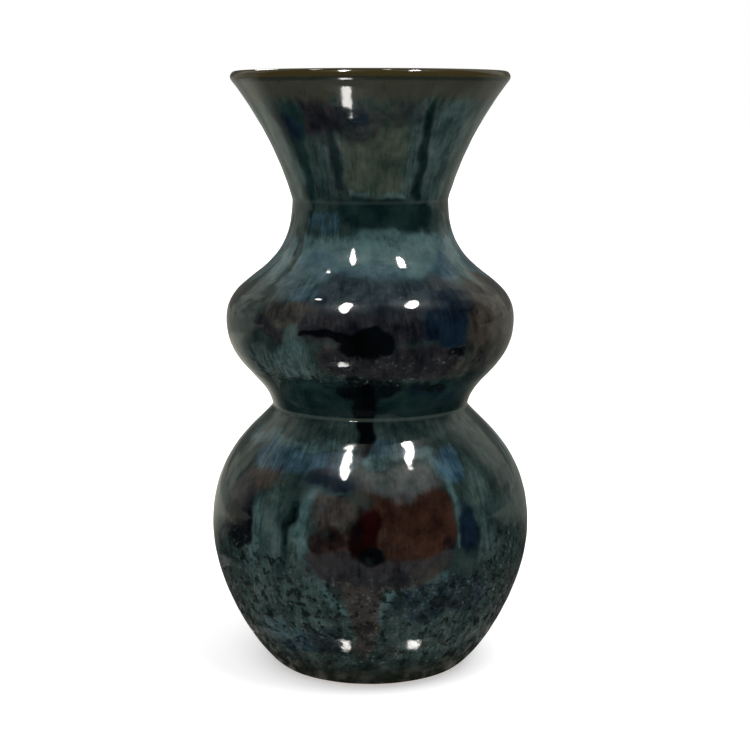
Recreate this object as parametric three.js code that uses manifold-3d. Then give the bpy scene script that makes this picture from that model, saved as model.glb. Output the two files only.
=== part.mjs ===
// A wheel-thrown stoneware vase in millimetres: a round globe, a smaller bulge and a flared neck.
//
// The clay is three thrown sections. Each upper one sits on a seat round the one below, over a thin tongue
// that keeps it centred, and the narrow gap between them is where the luting slip was. One coat of glaze
// covers the outside, from just above the foot to over the lip, and another lines the inside.
//
// +Z is up. The origin is the centre of the foot, on the surface that the vase stands on.

import * as THREE from "three";
import { mergeVertices } from "three/addons/utils/BufferGeometryUtils.js";
import Module from "manifold-3d";

const wasm = await Module();
wasm.setup();

// ---- Driving dimensions ----

// The glazed outside is five smooth runs between six stations. A station has a radius, and the length that
// the outline keeps to the station's own direction below and above it: a long one makes a full, round form.
// These are the heights of the three thrown sections.
const GLOBE_HEIGHT = 136.2; // from the ground to the crease of the waist
const BULGE_HEIGHT = 105; // from the waist to the neck's narrowest place
const NECK_LENGTH = 60.8; // from there to the centre of the lip's roll

const FOOT = { radius: 47, glazeStep: 2.2, glazeLevel: 1.1, above: { out: 11.3, up: 7 } };
const BELLY = { radius: 82.4, level: 73.9, below: 31, above: 38.7 };
const WAIST = { radius: 50.5, below: { out: 7.3, down: 10.4 }, above: { out: 2.8, up: 16.2 } };
const BULGE = { radius: 74, rise: 44.5, below: 24.5, above: 25.8 };
const NECK = { radius: 39.9, below: 41 };
const LIP = { radius: 70.4, roll: 3, lean: 0.64, below: 36 };

const WALL = 7.6; // glaze, clay and liner together, below the neck; it thins from there to the lip's roll
const GLAZE = 0.8; // each coat
const SLIT = 0.3; // clearance between neighbouring pieces

const FOOT_RING_WIDTH = 7;
const FOOT_RING_HEIGHT = 2.4; // how far the base is hollowed inside the ring
const FOOT_CHAMFER = 0.6;
const TONGUE_HEIGHT = 6; // of each joint between two sections

// How finely the forms are divided.
const FACETS = 36;
const STEPS = { belly: 6, shoulder: 5, lift: 5, cap: 8, flare: 5, roll: 4 };

// ---- Levels that follow from them ----

const waistLevel = GLOBE_HEIGHT;
const bulgeLevel = waistLevel + BULGE.rise;
const neckLevel = waistLevel + BULGE_HEIGHT;
const lipLevel = neckLevel + NECK_LENGTH;

// ---- The outline ----
// Points of an outline are (radius, height).

const point = (radius, height) => new THREE.Vector2(radius, height);

// The wall at the lip leans outwards by LIP.lean radians, and the roll is tangent to it.
const lipDirection = point(Math.sin(LIP.lean), Math.cos(LIP.lean));
const lipNormal = point(Math.cos(LIP.lean), -Math.sin(LIP.lean));
const rollCentre = point(LIP.radius - LIP.roll, lipLevel);
const lipStart = rollCentre.clone().addScaledVector(lipNormal, LIP.roll);

const glazeEdge = point(FOOT.radius + FOOT.glazeStep, FOOT.glazeLevel);
const belly = point(BELLY.radius, BELLY.level);
const waist = point(WAIST.radius, waistLevel);
const bulge = point(BULGE.radius, bulgeLevel);
const neck = point(NECK.radius, neckLevel);

const up = (station, length) => point(station.x, station.y + length);

const runs = {
  belly: new THREE.CubicBezierCurve(
    glazeEdge,
    point(glazeEdge.x + FOOT.above.out, glazeEdge.y + FOOT.above.up),
    up(belly, -BELLY.below),
    belly,
  ),
  shoulder: new THREE.CubicBezierCurve(
    belly,
    up(belly, BELLY.above),
    point(waist.x + WAIST.below.out, waist.y - WAIST.below.down),
    waist,
  ),
  lift: new THREE.CubicBezierCurve(
    waist,
    point(waist.x + WAIST.above.out, waist.y + WAIST.above.up),
    up(bulge, -BULGE.below),
    bulge,
  ),
  cap: new THREE.CubicBezierCurve(bulge, up(bulge, BULGE.above), up(neck, -NECK.below), neck),
  flare: new THREE.QuadraticBezierCurve(
    neck,
    lipStart.clone().addScaledVector(lipDirection, -LIP.below),
    lipStart,
  ),
};

// The whole wall's thickness at a height: even up to the neck, then thinning to the roll of the lip.
function wallAt(height) {
  const share = THREE.MathUtils.clamp((height - neckLevel) / (lipStart.y - neckLevel), 0, 1);
  return THREE.MathUtils.lerp(WALL, 2 * LIP.roll, share);
}

// The outline from the foot to the lip, moved inwards by the depth that depthOf gives for the whole wall's
// thickness there.
function wallLine(depthOf) {
  const line = [];
  for (const [name, curve] of Object.entries(runs)) {
    for (let step = 0; step <= STEPS[name]; step++) {
      const along = step / STEPS[name];
      const place = curve.getPointAt(along);
      const way = curve.getTangentAt(along);
      const outward = point(way.y, -way.x);
      const moved = place.clone().addScaledVector(outward, -depthOf(wallAt(place.y)));
      const last = line.at(-1);
      if (!last || last.distanceTo(moved) > SLIT / 2) line.push(moved);
    }
  }
  return line;
}

// The lip's roll at a depth below its glazed surface, from the outside over the top. It stops short of the
// inside by the angle given.
function rollLine(depth, short) {
  const line = [];
  for (let step = 1; step <= STEPS.roll; step++) {
    const angle = -LIP.lean + ((Math.PI - short) * step) / STEPS.roll;
    const radius = LIP.roll - depth;
    line.push(point(rollCentre.x + radius * Math.cos(angle), rollCentre.y + radius * Math.sin(angle)));
  }
  return line;
}

const clayDepth = GLAZE + SLIT;
const outsideLine = (depth) => wallLine(() => depth);
const insideLine = (cover) => wallLine((wall) => wall - cover).reverse();

// ---- Solids ----

// Turns a profile about the axis. It runs up the outside of the solid and back down its inside.
function turned(profile) {
  return new THREE.LatheGeometry(profile, FACETS);
}

// A turned profile that doesn't touch the axis, and so has to close on itself.
function turnedRing(profile) {
  return turned([...profile, profile[0].clone()]);
}

function solidOf(geometry) {
  const bare = geometry.clone();
  bare.deleteAttribute("normal");
  bare.deleteAttribute("uv");
  const merged = mergeVertices(bare);
  return new wasm.Manifold(
    new wasm.Mesh({
      numProp: 3,
      vertProperties: merged.attributes.position.array,
      triVerts: new Uint32Array(merged.index.array),
    }),
  );
}

function geometryOf(solid) {
  const mesh = solid.getMesh();
  const geometry = new THREE.BufferGeometry();
  geometry.setAttribute("position", new THREE.BufferAttribute(mesh.vertProperties, 3));
  geometry.setIndex(new THREE.BufferAttribute(mesh.triVerts, 1));
  geometry.computeVertexNormals();
  return geometry;
}

// All the clay of the vase in one solid, with its foot ring and hollowed base.
function clay() {
  const outside = [...outsideLine(clayDepth), ...rollLine(clayDepth, 0)];
  const inside = insideLine(clayDepth).slice(1);
  const ringInside = FOOT.radius - FOOT_RING_WIDTH;
  return solidOf(
    turned([
      point(0, FOOT_RING_HEIGHT),
      point(ringInside - FOOT_CHAMFER, FOOT_RING_HEIGHT),
      point(ringInside, 0),
      point(FOOT.radius - FOOT_CHAMFER, 0),
      point(FOOT.radius, FOOT_CHAMFER),
      ...outside,
      ...inside,
      point(0, inside.at(-1).y),
    ]),
  );
}

// The space under or over a stepped joint, as a solid wider and taller than the vase. The joint is a seat
// at the given level, from the outside to the middle of the wall, and a tongue from there to the inside.
const clearOf = 2 * Math.max(BELLY.radius, BULGE.radius, LIP.radius);
const aboveAll = lipLevel + clearOf;

function under(station) {
  const middle = station.x - WALL / 2;
  const tongueTop = station.y + TONGUE_HEIGHT;
  return solidOf(
    turned([
      point(0, -clearOf),
      point(clearOf, -clearOf),
      point(clearOf, station.y),
      point(middle, station.y),
      point(middle, tongueTop),
      point(0, tongueTop),
    ]),
  );
}

function over(station) {
  const middle = station.x - WALL / 2 + SLIT;
  const socketTop = station.y + TONGUE_HEIGHT + SLIT;
  return solidOf(
    turned([
      point(0, socketTop),
      point(middle, socketTop),
      point(middle, station.y + SLIT),
      point(clearOf, station.y + SLIT),
      point(clearOf, aboveAll),
      point(0, aboveAll),
    ]),
  );
}

function outerGlaze() {
  const short = SLIT / LIP.roll;
  return turnedRing([
    ...outsideLine(0),
    ...rollLine(0, short),
    ...rollLine(GLAZE, short).reverse(),
    ...outsideLine(GLAZE).reverse(),
  ]);
}

function linerGlaze() {
  const back = insideLine(GLAZE).reverse();
  const face = insideLine(0);
  return turned([point(0, back[0].y), ...back, ...face, point(0, face.at(-1).y)]);
}

// ---- Materials and the scene ----

const stoneware = new THREE.MeshStandardMaterial({ color: 0x8d7760, roughness: 0.85, metalness: 0 });
const glaze = new THREE.MeshStandardMaterial({ color: 0x24393b, roughness: 0.12, metalness: 0 });
const liner = new THREE.MeshStandardMaterial({ color: 0x2b2a22, roughness: 0.15, metalness: 0 });

function piece(name, geometry, material) {
  const mesh = new THREE.Mesh(geometry, material);
  mesh.name = name;
  return mesh;
}

const allClay = clay();
const lowerGlobe = allClay.intersect(under(waist));
const middleBulge = allClay.intersect(over(waist)).intersect(under(neck));
const flaredNeck = allClay.intersect(over(neck));

// A lathe turns about Y, so the vase is stood up onto Z here.
const upright = new THREE.Group();
upright.rotation.x = Math.PI / 2;
upright.add(
  piece("lower_globe", geometryOf(lowerGlobe), stoneware),
  piece("middle_bulge", geometryOf(middleBulge), stoneware),
  piece("flared_neck", geometryOf(flaredNeck), stoneware),
  piece("outer_glaze", outerGlaze(), glaze),
  piece("liner_glaze", linerGlaze(), liner),
);

const vase = new THREE.Group();
vase.add(upright);

export default vase;
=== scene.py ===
"""A wheel-thrown stoneware vase with a run and mottled glaze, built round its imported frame.

Sizes are in millimetres and angles in degrees, unless a name says otherwise, and meshes are made in metres.
A place on the glaze is a turn and a height: the turn goes round from the front, positive to the right.
"""

import logging
import math
from dataclasses import dataclass, field, replace
from enum import Enum
from typing import Callable, Sequence, Union

import bmesh
import bpy
import numpy as np
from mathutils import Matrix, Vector

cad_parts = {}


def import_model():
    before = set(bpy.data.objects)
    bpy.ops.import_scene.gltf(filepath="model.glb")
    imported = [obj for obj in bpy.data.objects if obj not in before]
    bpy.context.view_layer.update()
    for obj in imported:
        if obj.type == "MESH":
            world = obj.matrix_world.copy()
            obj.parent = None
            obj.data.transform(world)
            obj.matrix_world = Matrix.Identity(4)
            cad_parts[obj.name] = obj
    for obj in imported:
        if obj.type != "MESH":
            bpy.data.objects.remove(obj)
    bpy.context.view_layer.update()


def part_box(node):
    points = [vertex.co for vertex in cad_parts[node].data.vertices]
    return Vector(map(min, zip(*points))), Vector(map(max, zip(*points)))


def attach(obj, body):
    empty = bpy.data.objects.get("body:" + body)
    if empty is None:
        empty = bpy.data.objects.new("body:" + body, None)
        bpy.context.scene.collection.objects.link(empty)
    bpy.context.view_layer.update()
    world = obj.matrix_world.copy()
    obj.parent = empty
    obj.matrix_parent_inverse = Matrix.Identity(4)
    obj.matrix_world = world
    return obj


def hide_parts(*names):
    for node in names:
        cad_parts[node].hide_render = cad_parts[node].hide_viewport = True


MM = 0.001  # metres in a millimetre
WELD = 1e-6  # metres; points of a mesh that are nearer than this become one

LOG = logging.getLogger("vase")


# ---------------------------------------------------------------------------------------------
# The outline
# ---------------------------------------------------------------------------------------------


@dataclass(frozen=True)
class Run:
    """One smooth stretch of the outline: a Bezier curve through (radius, height) points.

    Attributes:
        start: Where it starts.
        leave: The handle that it leaves its start by.
        arrive: The handle that it reaches its end by.
        end: Where it ends.
        rows: How many steps its surface is divided into.
    """

    start: Vector
    leave: Vector
    arrive: Vector
    end: Vector
    rows: int

    def point(self, share: float) -> Vector:
        """The point at a share of the curve's parameter.

        Args:
            share: From 0 at the start to 1 at the end.

        Returns:
            The point, as (radius, height).
        """
        rest = 1 - share
        return (
            self.start * rest**3
            + self.leave * (3 * rest * rest * share)
            + self.arrive * (3 * rest * share * share)
            + self.end * share**3
        )

    def outward(self, share: float) -> Vector:
        """The unit normal that points out of the wall.

        Args:
            share: A share of the curve's parameter.

        Returns:
            The normal at that point of the curve.
        """
        rest = 1 - share
        along = (
            (self.leave - self.start) * (rest * rest)
            + (self.arrive - self.leave) * (2 * rest * share)
            + (self.end - self.arrive) * (share * share)
        ).normalized()
        return Vector((along.y, -along.x))


@dataclass
class Outline:
    """The vase's glazed outline and the lines that keep a depth under it.

    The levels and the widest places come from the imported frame. The rest are the form's own sizes: the radii
    of its stations, and the handles that it leaves and reaches them by.
    """

    wall: float = 7.6
    glaze: float = 0.8
    slit: float = 0.3
    foot_radius: float = 47.0
    glaze_step: float = 2.2  # from the foot's edge out to the start of the glaze
    waist_radius: float = 50.5
    neck_radius: float = 39.9
    foot_out: float = 11.3
    foot_up: float = 7.0
    belly_level: float = 73.9
    belly_below: float = 31.0
    belly_above: float = 38.7
    waist_below: tuple[float, float] = (7.3, -10.4)
    waist_above: tuple[float, float] = (2.8, 16.2)
    bulge_rise: float = 44.5
    bulge_below: float = 24.5
    bulge_above: float = 25.8
    neck_below: float = 41.0
    lip_roll: float = 3.0
    lip_lean: float = 0.64  # radians
    lip_below: float = 36.0
    rows: tuple[int, ...] = (62, 60, 40, 58, 52)  # of the five runs, from the foot up

    def __post_init__(self) -> None:
        """Reads the frame and lays out the runs."""
        glaze_low, glaze_high = (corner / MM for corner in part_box("outer_glaze"))
        bulge_low, bulge_high = (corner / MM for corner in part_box("middle_bulge"))
        neck_low, neck_high = (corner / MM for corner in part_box("flared_neck"))
        self.clay_depth = self.glaze + self.slit
        self.waist_level = bulge_low.z - self.slit
        self.neck_level = neck_low.z - self.slit
        self.top = glaze_high.z
        self.belly_radius = glaze_high.x
        self.bulge_radius = bulge_high.x + self.clay_depth
        self.lip_radius = neck_high.x + self.clay_depth
        self.glaze_level = glaze_low.z
        self.runs = self._lay_out()

    def _lay_out(self) -> list[Run]:
        """The five runs from the foot to the start of the lip's roll.

        Returns:
            The runs, from the foot up.
        """
        lean, roll = self.lip_lean, self.lip_roll
        lip_way = Vector((math.sin(lean), math.cos(lean)))
        lip_normal = Vector((math.cos(lean), -math.sin(lean)))
        self.roll_centre = Vector((self.lip_radius - roll, self.top - roll))
        lip = self.roll_centre + lip_normal * roll
        edge = Vector((self.foot_radius + self.glaze_step, self.glaze_level))
        belly = Vector((self.belly_radius, self.belly_level))
        waist = Vector((self.waist_radius, self.waist_level))
        bulge = Vector((self.bulge_radius, self.waist_level + self.bulge_rise))
        neck = Vector((self.neck_radius, self.neck_level))
        upright = Vector((0, 1))
        corner = lip - lip_way * self.lip_below  # the one handle of a quadratic curve
        to_corner = 2 / 3  # how far towards it both handles of the same curve are as a cubic one
        curves = (
            (edge, edge + Vector((self.foot_out, self.foot_up)), belly - upright * self.belly_below, belly),
            (belly, belly + upright * self.belly_above, waist + Vector(self.waist_below), waist),
            (waist, waist + Vector(self.waist_above), bulge - upright * self.bulge_below, bulge),
            (bulge, bulge + upright * self.bulge_above, neck - upright * self.neck_below, neck),
            (neck, neck.lerp(corner, to_corner), lip.lerp(corner, to_corner), lip),
        )
        return [Run(*curve, rows) for curve, rows in zip(curves, self.rows)]

    def wall_at(self, height: float) -> float:
        """The whole wall's thickness: even up to the neck, then thinning to the roll of the lip.

        Args:
            height: The height on the outline.

        Returns:
            The thickness of clay and both glazes.
        """
        end = self.runs[-1].end.y
        share = min(max((height - self.neck_level) / (end - self.neck_level), 0), 1)
        return self.wall + (2 * self.lip_roll - self.wall) * share

    def line(self, depth_of: Callable[[float], float], coarser: int = 1) -> list[Vector]:
        """The outline from the foot to the lip, moved inwards.

        Args:
            depth_of: Gives the depth from the whole wall's thickness there.
            coarser: Divides the number of rows.

        Returns:
            Points of (radius, height), from the foot up.
        """
        points: list[Vector] = []
        for run in self.runs:
            steps = run.rows // coarser
            for step in range(steps + 1):
                share = step / steps
                place = run.point(share)
                moved = place - run.outward(share) * depth_of(self.wall_at(place.y))
                if not points or (points[-1] - moved).length > self.slit / 2:
                    points.append(moved)
        return points

    def roll(self, depth: float, steps: int, short: float = 0.0) -> list[Vector]:
        """The lip's roll, from the outside over the top.

        Args:
            depth: How far it is under the glazed surface.
            steps: How many points it has.
            short: The angle in radians that it stops short by.

        Returns:
            Points of (radius, height).
        """
        points = []
        for step in range(1, steps + 1):
            angle = -self.lip_lean + (math.pi - short) * step / steps
            arm = Vector((math.cos(angle), math.sin(angle)))
            points.append(self.roll_centre + arm * (self.lip_roll - depth))
        return points

    def outside(self, depth: float, coarser: int = 1) -> list[Vector]:
        """The outline at one depth."""
        return self.line(lambda wall: depth, coarser)

    def inside(self, cover: float, coarser: int = 1) -> list[Vector]:
        """The inner face of the wall, under so much cover, from the foot up."""
        return self.line(lambda wall: wall - cover, coarser)


def between(line: Sequence[Vector], low: float, high: float) -> list[Vector]:
    """The part of a rising line between two heights, with a point made at each end that it is cut at.

    Args:
        line: Points of (radius, height), from the foot up.
        low: The lower height.
        high: The upper height.

    Returns:
        The points between them, from the lowest up.
    """
    kept: list[Vector] = []
    for before, after in zip(line, line[1:]):
        for level in (low, high):
            if (before.y - level) * (after.y - level) < 0:
                kept.append(before.lerp(after, (level - before.y) / (after.y - before.y)))
        if low <= after.y <= high:
            kept.append(after)
    if low <= line[0].y <= high:
        kept.insert(0, line[0])
    return sorted(kept, key=lambda point: point.y)


# ---------------------------------------------------------------------------------------------
# Turning a profile into a mesh
# ---------------------------------------------------------------------------------------------


def turned(name: str, profile: Sequence[Vector], spokes: int, closed: bool) -> bpy.types.Object:
    """Spins a profile about the vase's axis.

    Args:
        name: The piece's name.
        profile: Points of (radius, height) in millimetres.
        spokes: How many steps there are round the axis.
        closed: Whether the profile's end joins its start. Otherwise both lie on the axis.

    Returns:
        The new object, linked to the scene, with its faces pointing outwards and shaded smooth.
    """
    mesh = bmesh.new()
    points = [mesh.verts.new((0, -point.x * MM, point.y * MM)) for point in profile]
    pairs = list(zip(points, points[1:]))
    if closed:
        pairs.append((points[-1], points[0]))
    edges = [mesh.edges.new(pair) for pair in pairs]
    bmesh.ops.spin(
        mesh,
        geom=points + edges,
        cent=(0, 0, 0),
        axis=(0, 0, 1),
        angle=2 * math.pi,
        steps=spokes,
        use_merge=True,
    )
    bmesh.ops.remove_doubles(mesh, verts=mesh.verts, dist=WELD)
    bmesh.ops.recalc_face_normals(mesh, faces=mesh.faces)
    data = bpy.data.meshes.new(name)
    mesh.to_mesh(data)
    mesh.free()
    data.shade_smooth()
    piece = bpy.data.objects.new(name, data)
    bpy.context.scene.collection.objects.link(piece)
    return piece


def places_of(piece: bpy.types.Object) -> np.ndarray:
    """A piece's vertices in millimetres, one row each.

    Args:
        piece: The piece.

    Returns:
        One row of x, y, z for each vertex.
    """
    flat = np.zeros(len(piece.data.vertices) * 3)
    piece.data.vertices.foreach_get("co", flat)
    return flat.reshape(-1, 3) / MM


def move_out(piece: bpy.types.Object, amount: np.ndarray) -> None:
    """Moves each vertex along its own normal by so many millimetres.

    Args:
        piece: The piece.
        amount: How far each of its vertices goes.
    """
    normals = np.zeros(len(piece.data.vertices) * 3)
    piece.data.vertices.foreach_get("normal", normals)
    moved = places_of(piece) + normals.reshape(-1, 3) * amount[:, None]
    piece.data.vertices.foreach_set("co", (moved * MM).ravel())
    piece.data.update()


def polar(places: np.ndarray) -> tuple[np.ndarray, np.ndarray]:
    """Each place's radius, and its turn in radians."""
    return np.hypot(places[:, 0], places[:, 1]), np.arctan2(places[:, 0], -places[:, 1])


SWAY_WAVES = 9  # how many waves make up a sway
SWAY_SPREAD = (0.6, 1.5)  # the longest and shortest of them, as shares of the feature's own


def sway_over(places: np.ndarray, size: float, seed: int) -> np.ndarray:
    """A smooth, aimless sway over places in millimetres, from about -1 to 1.

    Args:
        places: One row of x, y, z for each place.
        size: The size of a feature.
        seed: Picks the pattern.

    Returns:
        One value for each place.
    """
    dice = np.random.default_rng(seed)
    total = np.zeros(len(places))
    for _ in range(SWAY_WAVES):
        way = dice.normal(size=3)
        way *= dice.uniform(*SWAY_SPREAD) * math.pi / size / np.linalg.norm(way)
        total += np.sin(places @ way + dice.uniform(0, 2 * math.pi))
    return total / math.sqrt(SWAY_WAVES)


def stray(places: np.ndarray, broad: float, narrow: float, seed: int) -> np.ndarray:
    """A broad sway from one seed and a narrow one, half as strong, from the next."""
    return sway_over(places, broad, seed) + 0.5 * sway_over(places, narrow, seed + 1)


# ---------------------------------------------------------------------------------------------
# Where each glaze lies
# ---------------------------------------------------------------------------------------------


class Tone(Enum):
    """The glaze colours, in the order that they lie over the dark green ground. The mottle is partly a painted
    reflection of a speckled top.
    """

    OLIVE = "olive"
    TEAL = "teal"
    MILK = "milk"
    UMBER = "umber"
    PLUM = "plum"
    RUST = "rust"
    DEEP = "deep"
    BLUE = "blue"
    NAVY = "navy"
    GARNET = "garnet"
    BLACK = "black"
    PALE = "pale"
    MOTTLE_AND_REFLECTION = "mottle"


DEEPEST = 8.0  # the fields of the marks are kept within this
ALL_ROUND = 9000.0  # half the width of a patch that goes all round the vase with even edges


def round_from(turn: np.ndarray, start: float) -> np.ndarray:
    """How far round each turn is from a start, the short way."""
    return (turn - start + 180) % 360 - 180


@dataclass(frozen=True)
class Pool:
    """A patch of one glaze.

    Attributes:
        tone: Its colour.
        turn: How far round it is.
        height: The height of its middle.
        across: Half its width, measured round the surface.
        tall: Half its height.
        square: 2 for an ellipse, more for a squarer patch.
        deep: The most that a place may be inside it. Under about 1, streaks break it up.
        soft: How many times softer than its colour's own its edge is.
    """

    tone: Tone
    turn: float
    height: float
    across: float
    tall: float
    square: float = 2.4
    deep: float = 6.0
    soft: float = 1.0

    def cover(self, turn: np.ndarray, height: np.ndarray, radius: np.ndarray) -> np.ndarray:
        """How far inside the patch each place is, less than nothing outside it.

        Args:
            turn: How far round each place is.
            height: How high each is.
            radius: How far each is from the axis.

        Returns:
            One distance for each place.
        """
        side = np.abs(np.radians(round_from(turn, self.turn)) * radius / self.across)
        rise = np.abs((height - self.height) / self.tall)
        share = 1 - (side**self.square + rise**self.square) ** (1 / self.square)
        return np.minimum(share * min(self.across, self.tall) / self.soft, self.deep)

    def moved(self, turn: float, sense: int, rise: float) -> "Pool":
        """The same patch turned round the vase, mirrored if the sense is -1, and raised."""
        return replace(self, turn=turn + sense * self.turn, height=self.height + rise)


@dataclass(frozen=True)
class Trail:
    """A run or a band of one glaze along a path of (turn, height) points.

    Attributes:
        tone: Its colour.
        path: The points that it passes through, in order.
        width: Half its width at its start.
        width_end: Half its width at its end.
        deep: The most that a place may be inside it. Under about 1, streaks break it up.
        soft: How many times softer than its colour's own its edge is.
    """

    tone: Tone
    path: tuple[tuple[float, float], ...]
    width: float
    width_end: float
    deep: float = 6.0
    soft: float = 1.0

    def cover(self, turn: np.ndarray, height: np.ndarray, radius: np.ndarray) -> np.ndarray:
        """How far inside the trail each place is, less than nothing outside it.

        Args:
            turn: How far round each place is.
            height: How high each is.
            radius: How far each is from the axis.

        Returns:
            One distance for each place.
        """
        best = np.full(len(turn), -DEEPEST * self.soft)
        stretches = len(self.path) - 1
        scale = np.radians(radius)
        for index, (start, end) in enumerate(zip(self.path, self.path[1:])):
            way_x = (end[0] - start[0]) * scale
            way_z = end[1] - start[1]
            to_x = round_from(turn, start[0]) * scale
            to_z = height - start[1]
            along = np.clip((to_x * way_x + to_z * way_z) / (way_x**2 + way_z**2), 0, 1)
            away = np.hypot(to_x - along * way_x, to_z - along * way_z)
            share = (index + along) / stretches
            best = np.maximum(best, self.width + (self.width_end - self.width) * share - away)
        return np.minimum(best / self.soft, self.deep)

    def moved(self, turn: float, sense: int, rise: float) -> "Trail":
        """The same trail turned round the vase, mirrored if the sense is -1, and raised."""
        path = tuple((turn + sense * place, height + rise) for place, height in self.path)
        return replace(self, path=path)


Mark = Union[Pool, Trail]

# The flare: an olive wash, teal beside it, a plum stain under the lip and dark runs that stop at the neck.
FLARE: tuple[Mark, ...] = (
    Pool(Tone.OLIVE, 4, 263, 17, 25, 3.0, 4.0),
    Pool(Tone.TEAL, 47, 268, 12, 27, 3.0, 2.0, 1.5),
    Pool(Tone.TEAL, 26, 268, 3.6, 24, 3.0, 1.0),
    Pool(Tone.TEAL, -32, 256, 7, 17, 2.4, -0.6),
    Pool(Tone.TEAL, -60, 262, 8, 24, 2.4, 2.0, 1.5),
    Pool(Tone.PLUM, -31, 282, 19, 9, 2.4, 3.0, 2.0),
    Pool(Tone.PLUM, -5, 279, 9, 8, 2.0, 0.4, 2.0),
    Pool(Tone.PLUM, 16, 284, 14, 5, 2.0, 0.0, 1.5),
    Pool(Tone.NAVY, -43, 279, 5, 6, 2.0, 0.8, 1.6),
    Pool(Tone.NAVY, -7, 282, 4, 4, 2.0, 0.4, 1.6),
    Trail(Tone.DEEP, ((-40, 286), (-44, 272), (-43, 256), (-42, 226)), 7.0, 1.2, 2.0, 1.5),
    Trail(Tone.PLUM, ((-20, 284), (-20, 262), (-21, 249.5)), 2.0, 3.4, 3.0),
    Trail(Tone.DEEP, ((-20, 276), (-20, 262), (-21, 249.5)), 1.0, 2.6, 0.3, 1.5),
    Trail(Tone.DEEP, ((30, 292), (31, 275), (33, 258), (34.5, 247)), 1.8, 3.6, 4.0),
    Trail(Tone.BLACK, ((30.5, 286), (31.5, 270), (34, 249)), 1.4, 3.0, -0.2, 2.0),
    Trail(Tone.PALE, ((-15.5, 276), (-16.5, 246)), 0.8, 0.6, -0.1),
    Trail(Tone.PALE, ((-26, 268), (-25, 246)), 0.7, 0.4, -0.5),
    Trail(Tone.PALE, ((28, 284), (29.2, 249)), 0.6, 0.5, -0.5),
    Trail(Tone.PALE, ((35, 284), (39, 249)), 0.8, 0.6, -0.4),
    Trail(Tone.MILK, ((-14, 245), (4, 243.5), (24, 245)), 1.2, 1.2, -0.2),
    Pool(Tone.PALE, 47, 270, 12, 20, 2.4, -1.5),
    Pool(Tone.PALE, 4, 266, 17, 20, 2.4, -1.7),
)

# The shoulder of the bulge: a dark band under the neck's crease, a milky band and streaked blues.
SHOULDER: tuple[Mark, ...] = (
    Trail(Tone.DEEP, ((-40, 236), (-24, 236), (-10, 235)), 5.5, 5.5, -0.2, 2.5),
    Pool(Tone.BLUE, -33, 232, 6, 4, 2.0, -0.4),
    Trail(Tone.DEEP, ((-12, 237), (8, 236), (18, 237)), 6.5, 6.0, 1.6, 2.2),
    Trail(Tone.DEEP, ((20, 236), (30, 235), (40, 236)), 7.0, 6.5, 5.0, 2.0),
    Trail(Tone.MILK, ((-56, 213), (-20, 215), (0, 219), (20, 217), (54, 215)), 11.0, 11.0, 3.0, 2.5),
    Pool(Tone.MILK, 38, 213, 13, 4, 2.4, 3.0, 1.5),
    Pool(Tone.MILK, -20, 220, 13, 5, 2.4, 3.0, 1.5),
    Trail(Tone.PALE, ((-14, 222), (-22, 216), (-34, 208)), 2.0, 2.5, -0.5, 1.5),
    Trail(Tone.PALE, ((22, 221), (34, 215), (46, 219)), 2.5, 2.0, -0.3, 1.5),
    Trail(Tone.TEAL, ((-2, 214), (14, 212), (24, 216)), 3.0, 2.5, 0.6, 2.0),
    Trail(Tone.TEAL, ((-44, 222), (-30, 220)), 3.0, 2.0, 0.6, 2.0),
    Trail(Tone.DEEP, ((2, 227), (12, 223), (20, 224)), 3.0, 2.0, -0.2, 2.0),
    Trail(Tone.BLUE, ((-38, 214), (-24, 211)), 3.5, 3.5, 0.0, 1.5),
    Trail(Tone.TEAL, ((-6, 228), (14, 226)), 4.0, 4.0, 1.0, 2.0),
    Trail(Tone.DEEP, ((-49, 228), (-49, 212), (-47, 192)), 2.6, 3.4, 0.4, 1.5),
    Trail(Tone.NAVY, ((-18, 199), (5, 199), (30, 200)), 6.5, 7.5, 1.6, 2.4),
    Pool(Tone.NAVY, 34, 195, 14, 8, 2.4, 1.5, 2.0),
    Trail(Tone.BLUE, ((22, 203), (35, 206), (48, 211)), 4.2, 4.6, 5.0),
    Pool(Tone.BLACK, 47, 196, 6, 5, 2.4, -0.2, 1.5),
    Pool(Tone.UMBER, 54, 198, 10, 6, 2.4, 1.5, 1.5),
    Trail(Tone.BLUE, ((-18, 207), (0, 209), (20, 208)), 2.6, 2.6, -0.2),
    Trail(Tone.BLUE, ((-44, 203), (-34, 200), (-20, 198)), 3.0, 2.4, 0.3, 1.5),
    Pool(Tone.PALE, 2, 203, 30, 8, 3.0, 0.1, 1.5),
    Pool(Tone.BLUE, 2, 202, 28, 7, 3.0, 0.5),
    Pool(Tone.PALE, -34, 203, 14, 5, 2.4, -0.4),
    Pool(Tone.PALE, 36, 199, 13, 7, 2.4, -1.0),
)
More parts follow.
